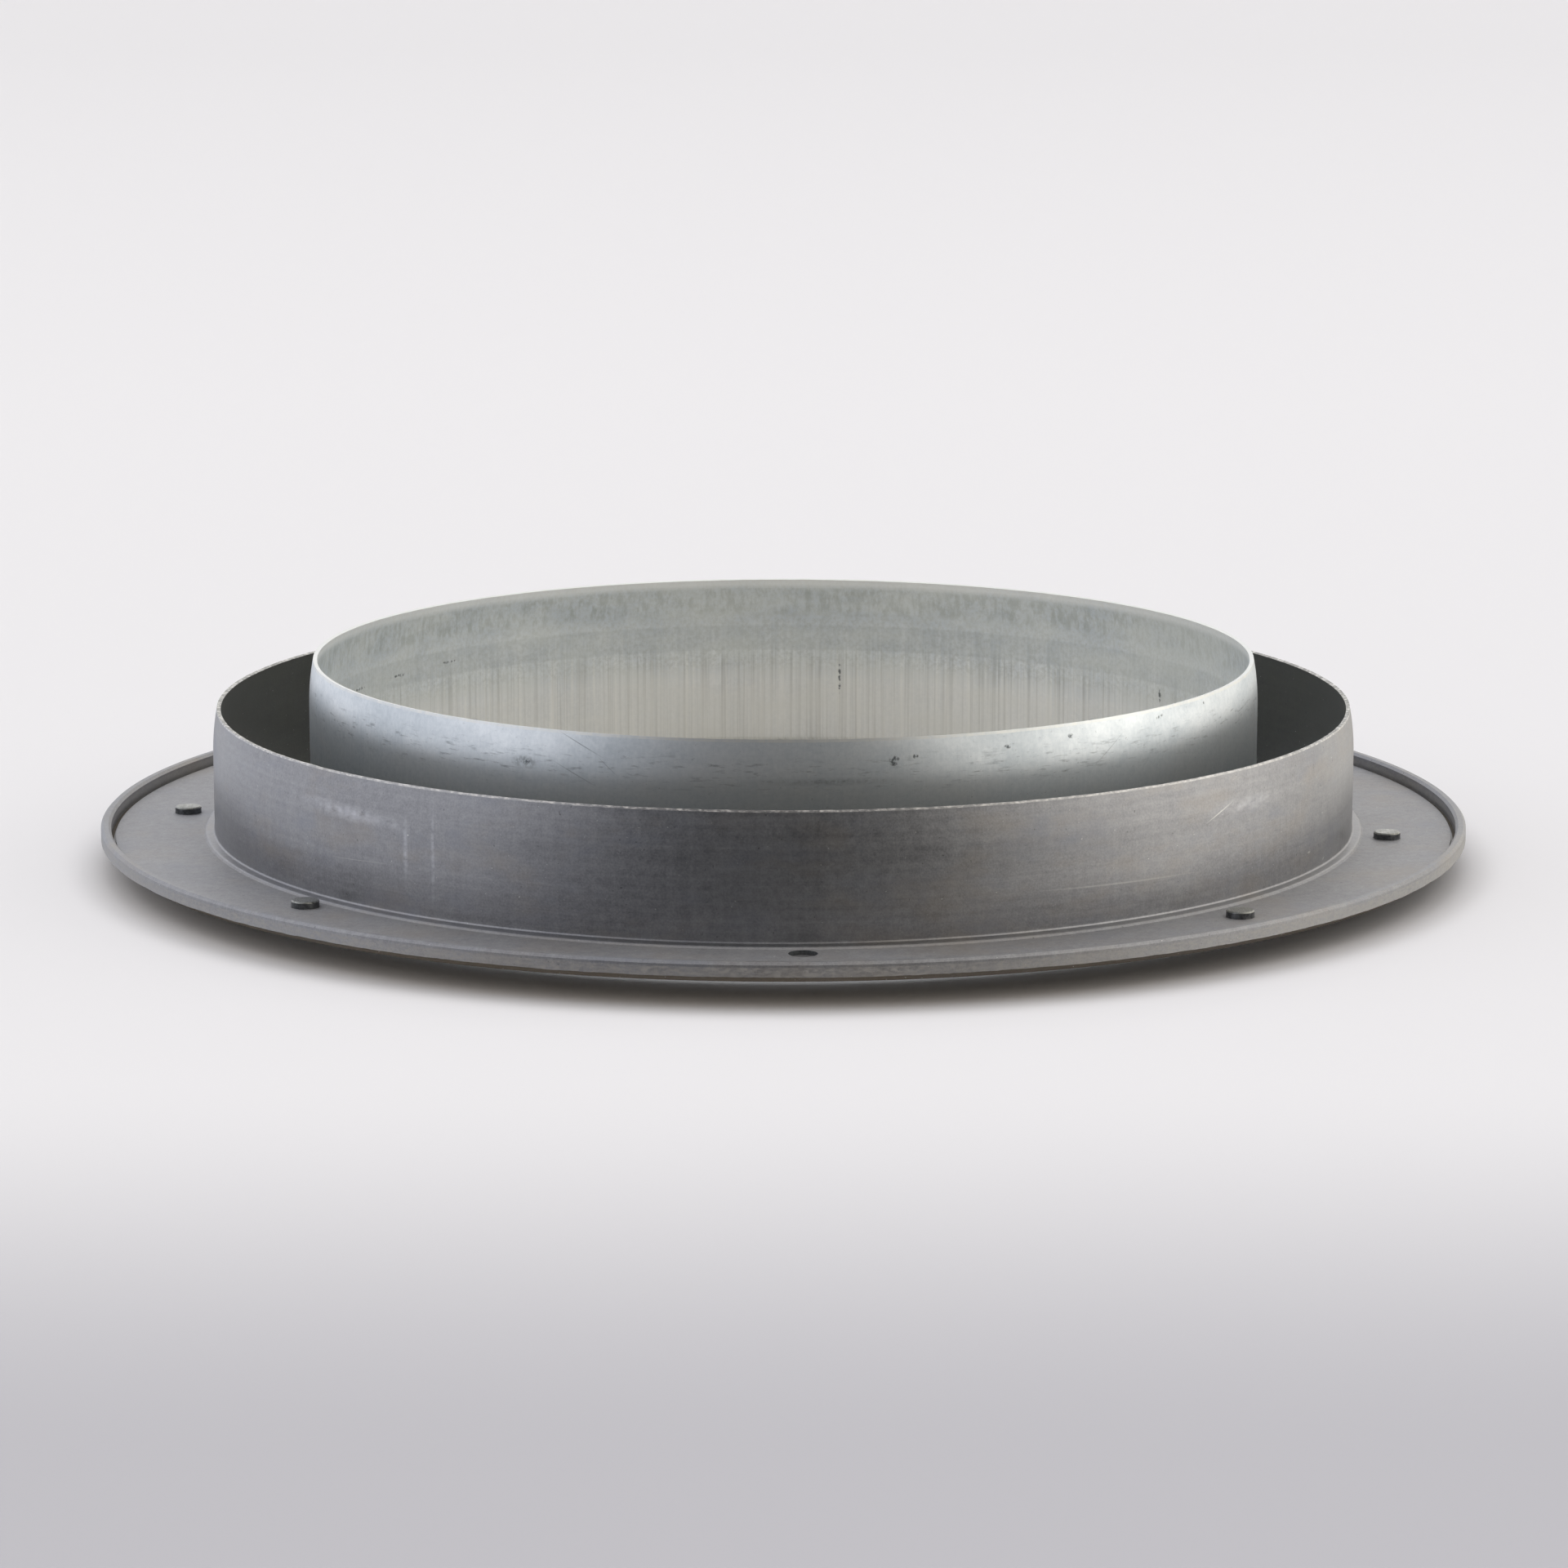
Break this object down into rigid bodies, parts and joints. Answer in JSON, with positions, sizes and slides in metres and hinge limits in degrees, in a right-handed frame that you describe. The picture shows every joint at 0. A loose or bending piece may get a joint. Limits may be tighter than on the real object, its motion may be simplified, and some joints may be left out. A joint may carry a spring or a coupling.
{
  "type": "ceiling air diffuser",
  "caption": "Round ceiling air diffuser: hemmed trim ring, drawn duct collar, core ring and a face disc that a centre screw raises and lowers.",
  "frame": {"origin": "centre of the face disc's room side, the lowest plane of the closed diffuser", "axes": "+Z along the duct axis, up into the duct; +X along the bridge"},
  "size_m": [0.3, 0.3, 0.0446],
  "materials": {
    "bare_steel": "bare cold-rolled sheet, drawn, dull grey with faint draw lines",
    "galvanised_steel": "hot-dip galvanised sheet, fine mottled spangle with vertical draw marks",
    "stud_steel": "cut steel, pale flat top and dark burnished side",
    "rivet_steel": "zinc-plated steel rivet, satin",
    "zinc_plated_steel": "bright zinc-plated steel",
    "natural_nylon": "moulded natural nylon, matt"
  },
  "bodies": {
    "frame": {"trim_ring": "bare_steel", "collar_plate": "bare_steel", "flange_stud_1": "stud_steel", "flange_stud_2": "stud_steel", "flange_stud_3": "stud_steel", "flange_stud_4": "stud_steel", "flange_stud_5": "stud_steel", "flange_stud_6": "stud_steel", "flange_stud_7": "stud_steel", "core_ring": "galvanised_steel", "spacer_bracket_1": "galvanised_steel", "spacer_bracket_2": "galvanised_steel", "spacer_bracket_3": "galvanised_steel", "spacer_bracket_4": "galvanised_steel", "spacer_rivet_1": "rivet_steel", "spacer_rivet_2": "rivet_steel", "spacer_rivet_3": "rivet_steel", "spacer_rivet_4": "rivet_steel", "bridge": "galvanised_steel", "bridge_rivet_right_1": "rivet_steel", "bridge_rivet_right_2": "rivet_steel", "bridge_rivet_left_1": "rivet_steel", "bridge_rivet_left_2": "rivet_steel", "bridge_nut": "zinc_plated_steel", "guide_bush_left": "natural_nylon", "guide_bush_right": "natural_nylon"},
    "disc": {"face_disc": "galvanised_steel", "guide_pin_left": "zinc_plated_steel", "guide_pin_right": "zinc_plated_steel", "screw_washer": "zinc_plated_steel"},
    "screw": {"centre_screw": "zinc_plated_steel", "retaining_clip": "zinc_plated_steel"}
  },
  "joints": [
    {"name": "disc_lift", "type": "slide", "parent": "frame", "child": "disc", "axis": [0, 0, -1], "range_m": [0, 0.01]},
    {"name": "screw_turn", "type": "hinge", "parent": "disc", "child": "screw", "pos_m": [0, 0, 0], "axis": [0, 0, -1], "range_deg": [0, 2881]}
  ],
  "couplings": [
    {"joint": "screw_turn", "follows": "disc_lift", "rad_per_m": 5026.5}
  ]
}
